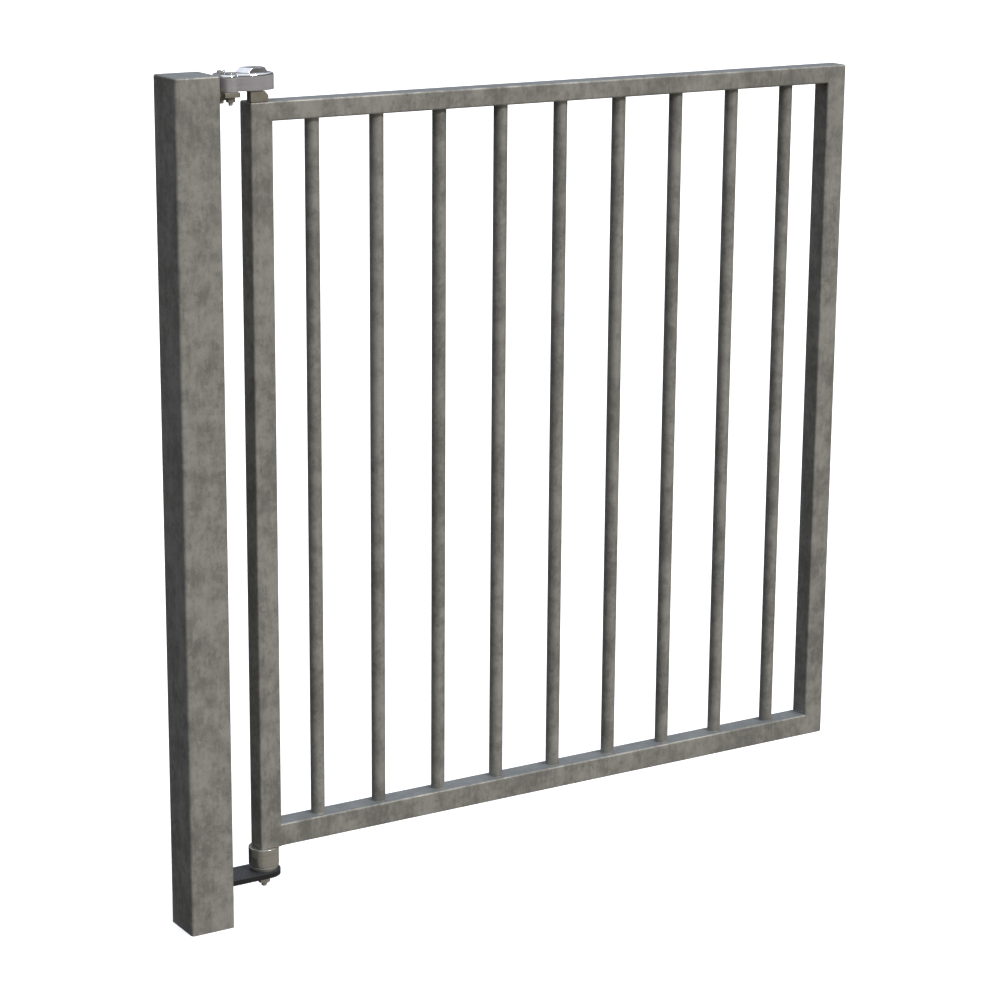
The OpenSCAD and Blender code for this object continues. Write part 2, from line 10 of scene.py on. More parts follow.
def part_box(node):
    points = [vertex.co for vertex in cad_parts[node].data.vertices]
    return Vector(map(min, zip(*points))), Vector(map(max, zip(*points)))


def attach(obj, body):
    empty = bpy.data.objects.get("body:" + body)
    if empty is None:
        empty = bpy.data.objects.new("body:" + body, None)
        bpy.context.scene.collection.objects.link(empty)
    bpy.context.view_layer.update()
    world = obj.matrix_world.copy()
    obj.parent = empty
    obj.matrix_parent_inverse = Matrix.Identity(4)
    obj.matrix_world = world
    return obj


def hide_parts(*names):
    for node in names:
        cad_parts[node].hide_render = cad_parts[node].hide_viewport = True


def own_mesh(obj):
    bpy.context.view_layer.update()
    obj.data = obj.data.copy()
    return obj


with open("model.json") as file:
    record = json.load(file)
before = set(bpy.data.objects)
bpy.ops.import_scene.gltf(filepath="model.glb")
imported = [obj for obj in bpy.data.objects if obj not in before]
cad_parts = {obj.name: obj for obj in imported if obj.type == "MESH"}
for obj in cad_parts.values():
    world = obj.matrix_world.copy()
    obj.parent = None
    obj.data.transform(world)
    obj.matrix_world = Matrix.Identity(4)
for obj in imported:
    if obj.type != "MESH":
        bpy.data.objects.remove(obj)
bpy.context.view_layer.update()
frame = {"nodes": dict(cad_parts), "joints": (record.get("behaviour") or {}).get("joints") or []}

# A galvanised garden gate on one post: a tubular leaf with round bars, a closer head above and
# a ball-bearing pivot below. All places come from the frame, in metres; MM turns millimetres
# into metres.
MM = 0.001
TURN = 2 * pi


# ---- places, from the frame ----

def low(node):
    """Lowest corner of a CAD node."""
    return np.array(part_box(node)[0])


def high(node):
    """Highest corner of a CAD node."""
    return np.array(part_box(node)[1])


def middle(node):
    """Middle of a CAD node's box."""
    return (low(node) + high(node)) / 2


AXIS = np.array([j for j in frame["joints"] if j["name"] == "gate_swing"][0]["pos_m"][:2])
POST_FACE = high("post")[0]
BRACKET_TOP = high("head_bracket")[2]
HEAD_TOP = high("head_body")[2]
WALL_TOP = HEAD_TOP - 4.5 * MM
SCREW_SEAT = HEAD_TOP - 4 * MM
SCREW_HEAD_R = 6.5 * MM
WELD_LEG = 5 * MM
STUD_R = 6 * MM

# A mesh shades smooth where its faces meet below this angle, in degrees; SOFTER for beads and wire.
SMOOTH_BELOW, SOFTER_BELOW = 32, 60


# ---- camera, light and floor ----

def camera():
    """The gate from its front left, a little above its own height."""
    place = Vector((-1973.77, -4120.10, 1948.44)) * MM
    yaw, pitch, roll = radians(31.8607), radians(-14.7843), radians(0.4527)
    ahead = Vector((sin(yaw) * cos(pitch), cos(yaw) * cos(pitch), sin(pitch)))
    level = Vector((cos(yaw), -sin(yaw), 0))
    upright = level.cross(ahead)
    right = level * cos(roll) + upright * sin(roll)
    up = upright * cos(roll) - level * sin(roll)
    data = bpy.data.cameras.new("camera")
    data.sensor_width = 36
    data.lens = 103.517
    data.clip_end = 200
    seen = bpy.data.objects.new("camera", data)
    bpy.context.scene.collection.objects.link(seen)
    turn = Matrix((right, up, -ahead)).transposed().to_4x4()
    seen.matrix_world = Matrix.Translation(place) @ turn
    bpy.context.scene.camera = seen


def put(tree, kind, settings=None, **inputs):
    """Adds a node; each input is a value, or another node's output to link. Underscores in an
    input's name stand for spaces."""
    node = tree.nodes.new(kind)
    for name, value in (settings or {}).items():
        setattr(node, name, value)
    for name, value in inputs.items():
        socket = node.inputs[name.replace("_", " ")]
        if isinstance(value, bpy.types.NodeSocket):
            tree.links.new(value, socket)
        else:
            socket.default_value = value
    return node


def calc(tree, operation, *values, clamp=False):
    """One Math node; its values are numbers or outputs. Returns its output."""
    node = tree.nodes.new("ShaderNodeMath")
    node.operation = operation
    node.use_clamp = clamp
    for socket, value in zip(node.inputs, values):
        if isinstance(value, bpy.types.NodeSocket):
            tree.links.new(value, socket)
        else:
            socket.default_value = value
    return node.outputs[0]


def weighted(tree, *terms):
    """The sum of several outputs, each times its own weight."""
    total = None
    for output, weight in terms:
        share = calc(tree, "MULTIPLY", output, weight)
        total = share if total is None else calc(tree, "ADD", total, share)
    return total


def remap(tree, value, start, end, low_out=0.0, high_out=1.0):
    """Smoothly turns start..end into low_out..high_out."""
    node = put(tree, "ShaderNodeMapRange", {"interpolation_type": "SMOOTHSTEP"}, Value=value)
    for name, number in (("From Min", start), ("From Max", end), ("To Min", low_out), ("To Max", high_out)):
        node.inputs[name].default_value = number
    return node.outputs[0]


def mix(tree, factor, first, second):
    """Mixes two colours; each is a colour or an output."""
    node = tree.nodes.new("ShaderNodeMix")
    node.data_type = "RGBA"
    for index, value in ((0, factor), (6, first), (7, second)):
        if isinstance(value, bpy.types.NodeSocket):
            tree.links.new(value, node.inputs[index])
        elif index == 0:
            node.inputs[0].default_value = value
        else:
            node.inputs[index].default_value = (*value, 1.0)
    return node.outputs[2]


def studio():
    """A pale ceiling over a dim band of wall, over a lower room that is dark on the left and lit
    on the right, and one soft lamp from the front right. The floor shows and takes shadows, and
    throws no light back on the gate."""
    scene = bpy.context.scene
    scene.view_settings.view_transform = "Standard"
    world = bpy.data.worlds.new("studio")
    world.use_nodes = True
    scene.world = world
    tree = world.node_tree
    background = tree.nodes["Background"]
    way = put(tree, "ShaderNodeTexCoord").outputs["Generated"]
    parts = put(tree, "ShaderNodeSeparateXYZ", Vector=way)
    ceiling = remap(tree, parts.outputs["Z"], 0.42, 0.72)
    side = weighted(tree, (parts.outputs["X"], 0.62), (parts.outputs["Y"], -0.78))
    slope = remap(tree, side, -0.15, 0.55)
    step = remap(tree, side, -0.29, -0.21)
    lit = weighted(tree, (step, 0.55), (slope, 0.45))
    lower = mix(tree, lit, (0.025, 0.025, 0.024), (0.37, 0.355, 0.33))
    wall = mix(tree, slope, (0.23, 0.24, 0.26), (0.12, 0.118, 0.115))
    room = mix(tree, remap(tree, parts.outputs["Z"], -0.06, 0.10), lower, wall)
    tree.links.new(mix(tree, ceiling, room, (0.84, 0.90, 1.0)), background.inputs["Color"])
    lamp = bpy.data.lights.new("lamp", "SUN")
    lamp.energy = 2.0
    lamp.angle = radians(14)
    lamp.color = (1.0, 0.98, 0.93)
    obj = bpy.data.objects.new("lamp", lamp)
    scene.collection.objects.link(obj)
    azimuth, height = radians(22), radians(40)
    to_lamp = Vector((sin(azimuth) * cos(height), -cos(azimuth) * cos(height), sin(height)))
    obj.matrix_world = to_lamp.to_track_quat("Z", "Y").to_matrix().to_4x4()
    reach = 90.0
    floor = bpy.data.meshes.new("floor")
    floor.from_pydata([(-reach, -reach, 0), (reach, -reach, 0), (reach, reach, 0), (-reach, reach, 0)],
                      [], [(0, 1, 2, 3)])
    ground = bpy.data.objects.new("floor", floor)
    scene.collection.objects.link(ground)
    ground.visible_diffuse = False
    ground.visible_glossy = False
    pale = bpy.data.materials.new("floor_pale")
    pale.use_nodes = True
    shader = pale.node_tree.nodes["Principled BSDF"]
    shader.inputs["Base Color"].default_value = (0.90, 0.90, 0.90, 1)
    shader.inputs["Roughness"].default_value = 0.9
    shader.inputs["Specular IOR Level"].default_value = 0.0
    shader.inputs["Emission Color"].default_value = (1, 1, 1, 1)
    shader.inputs["Emission Strength"].default_value = 0.6
    floor.materials.append(pale)


# ---- shader groups ----

def group(name, inputs, outputs):
    """An empty shader group with named number or vector inputs and number outputs."""
    tree = bpy.data.node_groups.new(name, "ShaderNodeTree")
    for label, kind, value in inputs:
        socket = tree.interface.new_socket(name=label, in_out="INPUT", socket_type=kind)
        if value is not None:
            socket.default_value = value
    for label in outputs:
        tree.interface.new_socket(name=label, in_out="OUTPUT", socket_type="NodeSocketFloat")
    return tree, tree.nodes.new("NodeGroupInput"), tree.nodes.new("NodeGroupOutput")


VECTOR, NUMBER = "NodeSocketVector", "NodeSocketFloat"


def noise(tree, position, scale, detail=2.0, roughness=0.5):
    """A noise value at a scale given as a number or an output."""
    node = put(tree, "ShaderNodeTexNoise", Vector=position, Scale=scale, Detail=detail, Roughness=roughness)
    return node.outputs["Fac"]


def per_metre(tree, size):
    """Turns a size in metres into a texture's scale."""
    return calc(tree, "DIVIDE", 1.0, size)


def crystals_group():
    """Zinc crystals: cells of one tone each, with fine fern lines that lie another way in each
    cell. Tone and Relief are 0 to 1."""
    tree, given, result = group("zinc_crystals", [("Position", VECTOR, None), ("Size", NUMBER, 0.01)],
                                ["Tone", "Relief"])
    place, scale = given.outputs["Position"], per_metre(tree, given.outputs["Size"])
    warp = put(tree, "ShaderNodeTexNoise", Vector=place, Scale=scale, Detail=2.0)
    shift = put(tree, "ShaderNodeVectorMath", {"operation": "SCALE"}, Vector=warp.outputs["Color"])
    tree.links.new(calc(tree, "MULTIPLY", given.outputs["Size"], 0.9), shift.inputs["Scale"])
    moved = put(tree, "ShaderNodeVectorMath", {"operation": "ADD"})
    tree.links.new(place, moved.inputs[0])
    tree.links.new(shift.outputs[0], moved.inputs[1])
    cells = put(tree, "ShaderNodeTexVoronoi", Vector=moved.outputs[0], Scale=scale)
    seed = put(tree, "ShaderNodeSeparateColor", Color=cells.outputs["Color"])
    angle = calc(tree, "MULTIPLY", seed.outputs["Green"], TURN)
    turned_place = put(tree, "ShaderNodeVectorRotate", {"rotation_type": "AXIS_ANGLE"},
                       Vector=place, Angle=angle, Axis=(0.48, 0.62, 0.62))
    stretched = put(tree, "ShaderNodeVectorMath", {"operation": "MULTIPLY"}, Vector=turned_place.outputs[0])
    stretched.inputs[1].default_value = (1.0, 5.0, 1.0)
    fern = noise(tree, stretched.outputs[0], calc(tree, "MULTIPLY", scale, 2.4), 3.0, 0.6)
    tone = weighted(tree, (seed.outputs["Red"], 0.55), (fern, 0.45))
    tree.links.new(tone, result.inputs["Tone"])
    tree.links.new(fern, result.inputs["Relief"])
    return tree


def clouds_group():
    """Soft patches of two sizes, the larger one four times the smaller. Tone is about 0 to 1."""
    tree, given, result = group("clouds", [("Position", VECTOR, None), ("Size", NUMBER, 0.03)], ["Tone"])
    place, scale = given.outputs["Position"], per_metre(tree, given.outputs["Size"])
    small = noise(tree, place, scale, 4.0, 0.6)
    large = noise(tree, place, calc(tree, "MULTIPLY", scale, 0.25), 2.0, 0.5)
    both = weighted(tree, (small, 0.6), (large, 0.4))
    tree.links.new(remap(tree, both, 0.34, 0.66), result.inputs["Tone"])
    return tree


def streaks_group():
    """Lines along one direction: noise on a position that is squeezed across it. Squeeze gives
    the three factors. Tone and Relief are about 0 to 1."""
    tree, given, result = group("streaks", [("Position", VECTOR, None), ("Squeeze", VECTOR, (1, 1, 1)),
                                            ("Size", NUMBER, 0.001)], ["Tone", "Relief"])
    squeezed = put(tree, "ShaderNodeVectorMath", {"operation": "MULTIPLY"})
    tree.links.new(given.outputs["Position"], squeezed.inputs[0])
    tree.links.new(given.outputs["Squeeze"], squeezed.inputs[1])
    scale = per_metre(tree, given.outputs["Size"])
    fine = noise(tree, squeezed.outputs[0], scale, 4.0, 0.7)
    broad = noise(tree, squeezed.outputs[0], calc(tree, "MULTIPLY", scale, 0.17), 2.0, 0.5)
    tone = weighted(tree, (fine, 0.5), (broad, 0.5))
    tree.links.new(remap(tree, tone, 0.3, 0.7), result.inputs["Tone"])
    tree.links.new(fine, result.inputs["Relief"])
    return tree


def grain_group():
    """Fine speckle: sharp noise at one small size. Tone is 0 to 1."""
    tree, given, result = group("grain", [("Position", VECTOR, None), ("Size", NUMBER, 0.001)], ["Tone"])
    fine = noise(tree, given.outputs["Position"], per_metre(tree, given.outputs["Size"]), 2.0, 0.7)
    tree.links.new(remap(tree, fine, 0.3, 0.7), result.inputs["Tone"])
    return tree


def edge_wear_highlight_group():
    """Worn edges, also used as a painted edge highlight: the piece's own edge attribute, broken up by noise.
    Mask is 0 to 1.
    """
    tree, given, result = group("edge_wear_and_highlight", [("Position", VECTOR, None), ("Edge", NUMBER, 0.0),
                                              ("Amount", NUMBER, 0.5)], ["Mask"])
    patchy = noise(tree, given.outputs["Position"], 260.0, 3.0, 0.6)
    # edge mask broken by noise: worn edges, also a painted edge highlight
    level = calc(tree, "MULTIPLY", given.outputs["Edge"], calc(tree, "MULTIPLY", patchy, 2.0))
    tree.links.new(calc(tree, "MULTIPLY", level, given.outputs["Amount"], clamp=True), result.inputs["Mask"])
    return tree


GROUPS = {"crystals": crystals_group(), "clouds": clouds_group(), "streaks": streaks_group(),
          "grain": grain_group(), "wear": edge_wear_highlight_group()}


# ---- materials ----

class Finish:
    """A material under way: its tree, its shader, and a position in metres to build patterns on."""

    def __init__(self, name, colour, metallic, roughness):
        self.material = bpy.data.materials.new(name)
        self.material.use_nodes = True
        self.material.diffuse_color = (*colour, 1)
        self.tree = self.material.node_tree
        self.shader = self.tree.nodes["Principled BSDF"]
        self.shader.inputs["Base Color"].default_value = (*colour, 1)
        self.shader.inputs["Metallic"].default_value = metallic
        self.shader.inputs["Roughness"].default_value = roughness
        self.place = put(self.tree, "ShaderNodeTexCoord").outputs["Object"]
        self.edge = put(self.tree, "ShaderNodeAttribute", {"attribute_name": "edge"}).outputs["Fac"]

    def use(self, name, **inputs):
        """One of the shared groups, placed with its own values."""
        node = put(self.tree, "ShaderNodeGroup", {"node_tree": GROUPS[name]}, Position=self.place)
        for label, value in inputs.items():
            if isinstance(value, bpy.types.NodeSocket):
                self.tree.links.new(value, node.inputs[label])
            else:
                node.inputs[label].default_value = value
        return node.outputs

    def colour(self, output):
        self.tree.links.new(output, self.shader.inputs["Base Color"])

    def roughness(self, output):
        self.tree.links.new(output, self.shader.inputs["Roughness"])

    def metallic(self, output):
        self.tree.links.new(output, self.shader.inputs["Metallic"])

    def relief(self, height, strength, distance):
        """A Bump node on a height of 0 to 1."""
        bump = put(self.tree, "ShaderNodeBump", Height=height, Strength=strength, Distance=distance)
        self.tree.links.new(bump.outputs["Normal"], self.shader.inputs["Normal"])

    def facing_up(self, start, end):
        """0 on upright faces to 1 on level ones that face up, between two heights of the normal."""
        normal = put(self.tree, "ShaderNodeTexCoord").outputs["Normal"]
        up = put(self.tree, "ShaderNodeSeparateXYZ", Vector=normal).outputs["Z"]
        return remap(self.tree, up, start, end)

    def wear(self, colour, amount, bare_and_highlight):
        """Shows an uncoated metal colour where an edge is worn, which also stands as a painted edge
        highlight.
        """
        # lighter colour on edges: partly real wear, partly a painted highlight
        mask = self.use("wear", Edge=self.edge, Amount=amount)["Mask"]
        return mix(self.tree, mask, colour, bare_and_highlight)


def galvanised():
    """Dipped zinc: cloudy grey, crystals of a few millimetres, runs down the steel, a grain, and
    a painted bluish sky reflection, speckled by the grain, on what faces up."""
    f = Finish("galvanised_zinc", (0.30, 0.295, 0.28), 0.45, 0.5)
    tree = f.tree
    clouds = f.use("clouds", Size=0.030)["Tone"]
    crystals = f.use("crystals", Size=0.0075)
    runs = f.use("streaks", Squeeze=(1, 1, 0.22), Size=0.006)["Tone"]
    grain = f.use("grain", Size=0.0011)["Tone"]
    tone = weighted(tree, (clouds, 0.30), (crystals["Tone"], 0.26), (runs, 0.30), (grain, 0.20))
    base = mix(tree, remap(tree, tone, 0.22, 0.84), (0.200, 0.194, 0.175), (0.405, 0.395, 0.362))
    # painted reflection: a bluish sky tint on faces that point up, speckled by the grain
    painted_sky_sheen = calc(tree, "MULTIPLY", f.facing_up(0.75, 0.99), remap(tree, grain, 0.1, 0.9, 0.35, 0.85))
    f.colour(mix(tree, painted_sky_sheen, base, (0.235, 0.262, 0.290)))
    f.roughness(remap(tree, tone, 0.26, 0.80, 0.66, 0.48))
    f.relief(weighted(tree, (clouds, 0.55), (crystals["Relief"], 0.2), (grain, 0.25)), 0.25, 0.0006)
    return f.material


def plated():
    """Passivated zinc plate: dull beige brown with faint clouds, thin at the edges, where the lighter edge
    colour is partly wear and partly a painted highlight.
    """
    f = Finish("zinc_plate", (0.30, 0.272, 0.22), 0.4, 0.42)
    tree = f.tree
    clouds = f.use("clouds", Size=0.006)["Tone"]
    grain = f.use("grain", Size=0.0006)["Tone"]
    base = mix(tree, clouds, (0.225, 0.203, 0.163), (0.29, 0.263, 0.213))
    base = mix(tree, calc(tree, "MULTIPLY", grain, 0.25), base, (0.34, 0.31, 0.27))
    # lighter edges: partly wear, partly a painted highlight
    f.colour(f.wear(base, 0.5, (0.42, 0.40, 0.36)))
    f.roughness(remap(tree, clouds, 0.0, 1.0, 0.36, 0.5))
    f.relief(grain, 0.2, 0.0002)
    return f.material


def alloy():
    """Cast alloy: fine level brushing and faint upright bands on the wall, and a polish above."""
    f = Finish("brushed_alloy", (0.44, 0.43, 0.46), 0.75, 0.34)
    tree = f.tree
    brush = f.use("streaks", Squeeze=(0.05, 0.05, 1.0), Size=0.0005)
    clouds = f.use("clouds", Size=0.012)["Tone"]
    height = put(tree, "ShaderNodeSeparateXYZ", Vector=f.place).outputs["Z"]
    polish = remap(tree, height, WALL_TOP - 0.4 * MM, WALL_TOP + 0.5 * MM)
    bands = f.use("streaks", Squeeze=(1.0, 1.0, 0.04), Size=0.003)["Tone"]
    base = mix(tree, brush["Tone"], (0.54, 0.52, 0.555), (0.68, 0.66, 0.70))
    base = mix(tree, calc(tree, "MULTIPLY", clouds, 0.25), base, (0.54, 0.525, 0.55))
    base = mix(tree, calc(tree, "MULTIPLY", bands, 0.35), base, (0.45, 0.435, 0.46))
    f.colour(mix(tree, polish, base, (0.97, 0.96, 0.96)))
    f.metallic(calc(tree, "ADD", 0.7, calc(tree, "MULTIPLY", polish, 0.3)))
    satin = remap(tree, brush["Tone"], 0.0, 1.0, 0.26, 0.18)
    f.roughness(calc(tree, "SUBTRACT", satin, calc(tree, "MULTIPLY", polish, 0.14)))
    rest = calc(tree, "SUBTRACT", 1.0, calc(tree, "MULTIPLY", polish, 0.85))
    f.relief(calc(tree, "MULTIPLY", brush["Relief"], rest), 0.18, 0.0001)
    return f.material


def polished():
    """Polished alloy: almost a mirror, with hairlines and a faint haze."""
    f = Finish("polished_alloy", (0.88, 0.88, 0.90), 1.0, 0.08)
    tree = f.tree
    hair = f.use("streaks", Squeeze=(0.08, 1.0, 1.0), Size=0.0004)
    haze = f.use("clouds", Size=0.01)["Tone"]
    f.colour(mix(tree, haze, (0.93, 0.92, 0.93), (0.98, 0.97, 0.97)))
    f.roughness(remap(tree, haze, 0.0, 1.0, 0.05, 0.12))
    f.relief(hair["Relief"], 0.05, 0.00005)
    return f.material


def turned_metal(name, dark, light, metallic, smooth, rough):
    """Metal from the lathe: fine level rings, slightly cloudy, and bright edges that are partly wear and
    partly a painted highlight.
    """
    middle_tone = tuple((a + b) / 2 for a, b in zip(dark, light))
    f = Finish(name, middle_tone, metallic, (smooth + rough) / 2)
    tree = f.tree
    rings = f.use("streaks", Squeeze=(0.03, 0.03, 1.0), Size=0.0005)
    clouds = f.use("clouds", Size=0.008)["Tone"]
    base = mix(tree, rings["Tone"], dark, light)
    base = mix(tree, calc(tree, "MULTIPLY", clouds, 0.35), base, middle_tone)
    # bright edges: partly wear, partly a painted highlight
    f.colour(f.wear(base, 0.2, tuple(min(1.0, c * 1.35) for c in light)))
    f.roughness(remap(tree, clouds, 0.0, 1.0, smooth, rough))
    f.relief(rings["Relief"], 0.1, 0.0001)
    return f.material


def blacked():
    """Hot-rolled plate, blacked: dark scale with a speckle, worn edges with a faint painted highlight, and a
    painted bluish sky reflection, speckled, on what faces up.
    """
    f = Finish("blacked_steel", (0.012, 0.012, 0.013), 0.0, 0.45)
    tree = f.tree
    clouds = f.use("clouds", Size=0.012)["Tone"]
    grain = f.use("grain", Size=0.0016)["Tone"]
    scratches = f.use("streaks", Squeeze=(0.1, 1.0, 1.0), Size=0.0012)["Tone"]
    base = mix(tree, clouds, (0.003, 0.003, 0.003), (0.006, 0.006, 0.006))
    base = mix(tree, calc(tree, "MULTIPLY", grain, 0.4), base, (0.012, 0.012, 0.012))
    base = mix(tree, calc(tree, "MULTIPLY", scratches, 0.1), base, (0.03, 0.03, 0.03))
    # painted reflection: a speckled bluish sky tint on faces that point up
    painted_sky_speckle = calc(tree, "MULTIPLY", f.facing_up(0.7, 0.98), remap(tree, grain, 0.1, 0.9, 0.25, 1.0))
    base = mix(tree, painted_sky_speckle, base, (0.058, 0.061, 0.070))
    # faint lighter edges: partly wear, partly a painted highlight
    f.colour(f.wear(base, 0.06, (0.08, 0.08, 0.08)))
    f.roughness(remap(tree, grain, 0.0, 1.0, 0.60, 0.42))
    f.relief(grain, 0.35, 0.0004)
    return f.material


def seal_rubber():
    """Nitrile seal: near black, matt, with a fine moulded skin."""
    f = Finish("seal_rubber", (0.018, 0.018, 0.018), 0.0, 0.65)
    tree = f.tree
    grain = f.use("grain", Size=0.0005)["Tone"]
    f.colour(mix(tree, grain, (0.013, 0.013, 0.013), (0.028, 0.028, 0.028)))
    f.roughness(remap(tree, grain, 0.0, 1.0, 0.6, 0.72))
    f.relief(grain, 0.3, 0.0001)
    return f.material


FINISHES = {
    "galvanised": galvanised(),
    "plated": plated(),
    "alloy": alloy(),
    "polished": polished(),
    "nickel": turned_metal("satin_nickel", (0.43, 0.415, 0.375), (0.55, 0.53, 0.48), 0.85, 0.10, 0.15),
    "dull_nickel": turned_metal("dull_nickel", (0.40, 0.39, 0.36), (0.54, 0.525, 0.485), 0.5, 0.34, 0.44),
    "blacked": blacked(),
    "steel": turned_metal("machined_steel", (0.50, 0.50, 0.49), (0.64, 0.64, 0.62), 0.7, 0.26, 0.38),
    "bright_steel": turned_metal("bright_steel", (0.78, 0.78, 0.78), (0.92, 0.92, 0.91), 0.95, 0.08, 0.14),
    "bronze": turned_metal("sintered_bronze", (0.42, 0.27, 0.12), (0.56, 0.38, 0.18), 0.85, 0.35, 0.5),
    "seal": seal_rubber(),
}


# ---- surfaces ----

def soft(points, cut, steps=4, closed=True):
    """Rounds the corners of a polyline of (a, b) points. Each corner P becomes the parabola
    (1-t)(1-t) A + 2t(1-t) P + t t B, where A and B lie `cut` before and after P, or half way to
    the next corner. The third number of each point is its edge mark, sin(pi t)."""
    p = np.asarray(points, float)
    reach = np.broadcast_to(np.asarray(cut, float), (len(p),))[:, None]
    sides = []
    for step in (1, -1):
        other = np.roll(p, step, 0)
        length = np.linalg.norm(other - p, axis=1, keepdims=True)
        sides.append(p + (other - p) * np.minimum(reach / np.maximum(length, 1e-9), 0.49))
    t = np.linspace(0, 1, steps + 1)[None, :, None]
    curve = (1 - t) ** 2 * sides[0][:, None] + 2 * t * (1 - t) * p[:, None] + t * t * sides[1][:, None]
    mark = np.broadcast_to(np.sin(pi * t) * (reach[:, None] > 0), (*curve.shape[:2], 1))
    curve = np.concatenate([curve, mark], 2)
    if closed:
        return curve.reshape(-1, 3)
    ends = np.concatenate([p, np.zeros((len(p), 1))], 1)
    return np.concatenate([ends[:1], curve[1:-1].reshape(-1, 3), ends[-1:]])


def skin(name, rows, edge, ring):
    """A mesh over a grid of points rows[row, around], always closed around. A ring's last row
    joins its first; otherwise a face closes each end."""
    count, around = rows.shape[:2]
    index = np.arange(count * around).reshape(count, around)
    following = np.roll(index, -1, 1)
    above = np.roll(index, -1, 0)
    above_following = np.roll(following, -1, 0)
    quads = np.stack([index, following, above_following, above], 2)
    faces = (quads if ring else quads[:-1]).reshape(-1, 4).tolist()
    if not ring:
        faces += [index[0, ::-1].tolist(), index[-1].tolist()]
    mesh = bpy.data.meshes.new(name)
    mesh.from_pydata(rows.reshape(-1, 3).tolist(), [], faces)
    marks = mesh.attributes.new("edge", "FLOAT", "POINT")
    marks.data.foreach_set("value", np.broadcast_to(edge, (count, around)).astype(np.float32).ravel())
    return mesh


def tidy(mesh, angle=SMOOTH_BELOW):
    """Merges doubles, turns every face outwards and shades smooth below an angle."""
    work = bmesh.new()
    work.from_mesh(mesh)
    bmesh.ops.remove_doubles(work, verts=work.verts, dist=2e-6)
    bmesh.ops.dissolve_degenerate(work, edges=work.edges, dist=1e-6)
    bmesh.ops.recalc_face_normals(work, faces=work.faces)
    work.to_mesh(mesh)
    work.free()
    mesh.shade_smooth()
    mesh.set_sharp_from_angle(angle=radians(angle))


def thing(name, mesh, finish=None, angle=SMOOTH_BELOW):
    """Puts a mesh in the scene as an object at the origin, with a finish of its own if given."""
    tidy(mesh, angle)
    obj = bpy.data.objects.new(name, mesh)
    bpy.context.scene.collection.objects.link(obj)
    if finish:
        mesh.materials.append(FINISHES[finish])
    return obj


def joined(name, meshes):
    """One mesh from several."""
    work = bmesh.new()
    for mesh in meshes:
        work.from_mesh(mesh)
        bpy.data.meshes.remove(mesh)
    whole = bpy.data.meshes.new(name)
    work.to_mesh(whole)
    work.free()
    return whole


def turned(name, profile, centre, sides=96, ring=True, radius=None):
    """A profile of (radius, height, edge) turned about the upright line through centre:
    P(a, s) = centre + (r cos a, r sin a, z). radius(a, r, z) may change r around the turn."""
    a = np.arange(sides)[None, :] * TURN / sides
    r = np.repeat(profile[:, :1], sides, 1)
    z = np.repeat(profile[:, 1:2], sides, 1)
    if radius:
        r = radius(np.broadcast_to(a, r.shape), r, z)
    rows = np.stack([centre[0] + r * np.cos(a), centre[1] + r * np.sin(a), z], 2)
    return skin(name, rows, profile[:, 2:3], ring)


def outline(points, spacing, rounding):
    """A closed plan curve: the corner points joined up, taken at even steps along the length and
    smoothed by a short Gaussian of width `rounding`, which rounds the corners."""
    p = np.asarray(points, float)
    p = np.concatenate([p, p[:1]])
    along = np.concatenate([[0], np.cumsum(np.linalg.norm(np.diff(p, axis=0), axis=1))])
    count = int(along[-1] / spacing)
    at = np.arange(count) * along[-1] / count
    curve = np.interp(at, along, p[:, 0]) + 1j * np.interp(at, along, p[:, 1])
    damping = np.exp(-0.5 * (TURN * np.fft.fftfreq(count, spacing) * rounding) ** 2)
    return np.fft.ifft(np.fft.fft(curve) * damping)


def inward(curve):
    """Unit normals of a closed plan curve, towards its inside."""
    tangent = np.roll(curve, -1) - np.roll(curve, 1)
    area = np.sum(curve.real * np.roll(curve.imag, -1) - np.roll(curve.real, -1) * curve.imag)
    return tangent / np.abs(tangent) * (1j if area > 0 else -1j)


def raised(name, curve, profile, lay):
    """A plan curve carried up a profile of (inset, height, edge):
    P(t, s) = curve(t) + inset(s) normal(t), at height(s). lay(u, v, h) puts it in the frame."""
    plan = curve[None, :] + profile[:, :1] * inward(curve)[None, :]
    height = np.repeat(profile[:, 1:2], len(curve), 1)
    rows = np.stack(lay(plan.real, plan.imag, height), 2)
    return skin(name, rows, profile[:, 2:3], False)


def level(u, v, h):
    """Lays a plan curve level, its height along Z."""
    return u, v, h


def facing(u, v, h):
    """Stands a plan curve upright across Y, its height along Y."""
    return u, h, v


def plate_profile(bottom, top, edge_radius):
    """The edge of a plate: upright, each rim a quarter circle, inset e (1 - sin t) at height
    e (1 - cos t) from the face."""
    t = np.linspace(0, pi / 2, 6)
    inset = edge_radius * (1 - np.sin(t))
    rise = edge_radius * (1 - np.cos(t))
    lower = np.stack([inset, bottom + rise, np.sin(2 * t)], 1)
    upper = np.stack([inset, top - rise, np.sin(2 * t)], 1)[::-1]
    return np.concatenate([lower, upper])


def carve(obj, cutters, way="DIFFERENCE"):
    """Cuts each mesh out of obj, or joins it on, and keeps the result as obj's own mesh."""
    for number, mesh in enumerate(cutters):
        tool = thing(f"{obj.name}_cut_{number}", mesh)
        change = obj.modifiers.new("carve", "BOOLEAN")
        change.operation = way
        change.solver = "EXACT"
        change.object = tool
        depsgraph = bpy.context.evaluated_depsgraph_get()
        result = bpy.data.meshes.new_from_object(obj.evaluated_get(depsgraph), depsgraph=depsgraph)
        obj.modifiers.clear()
        obj.data = result
        bpy.data.objects.remove(tool)
    tidy(obj.data)
    return obj


def hole(centre, radius, bottom, top, sides=48):
    """A plain upright cylinder to cut with."""
    profile = np.array([(radius, bottom, 0), (radius, top, 0)])
    return turned("hole", profile, centre, sides, ring=False)


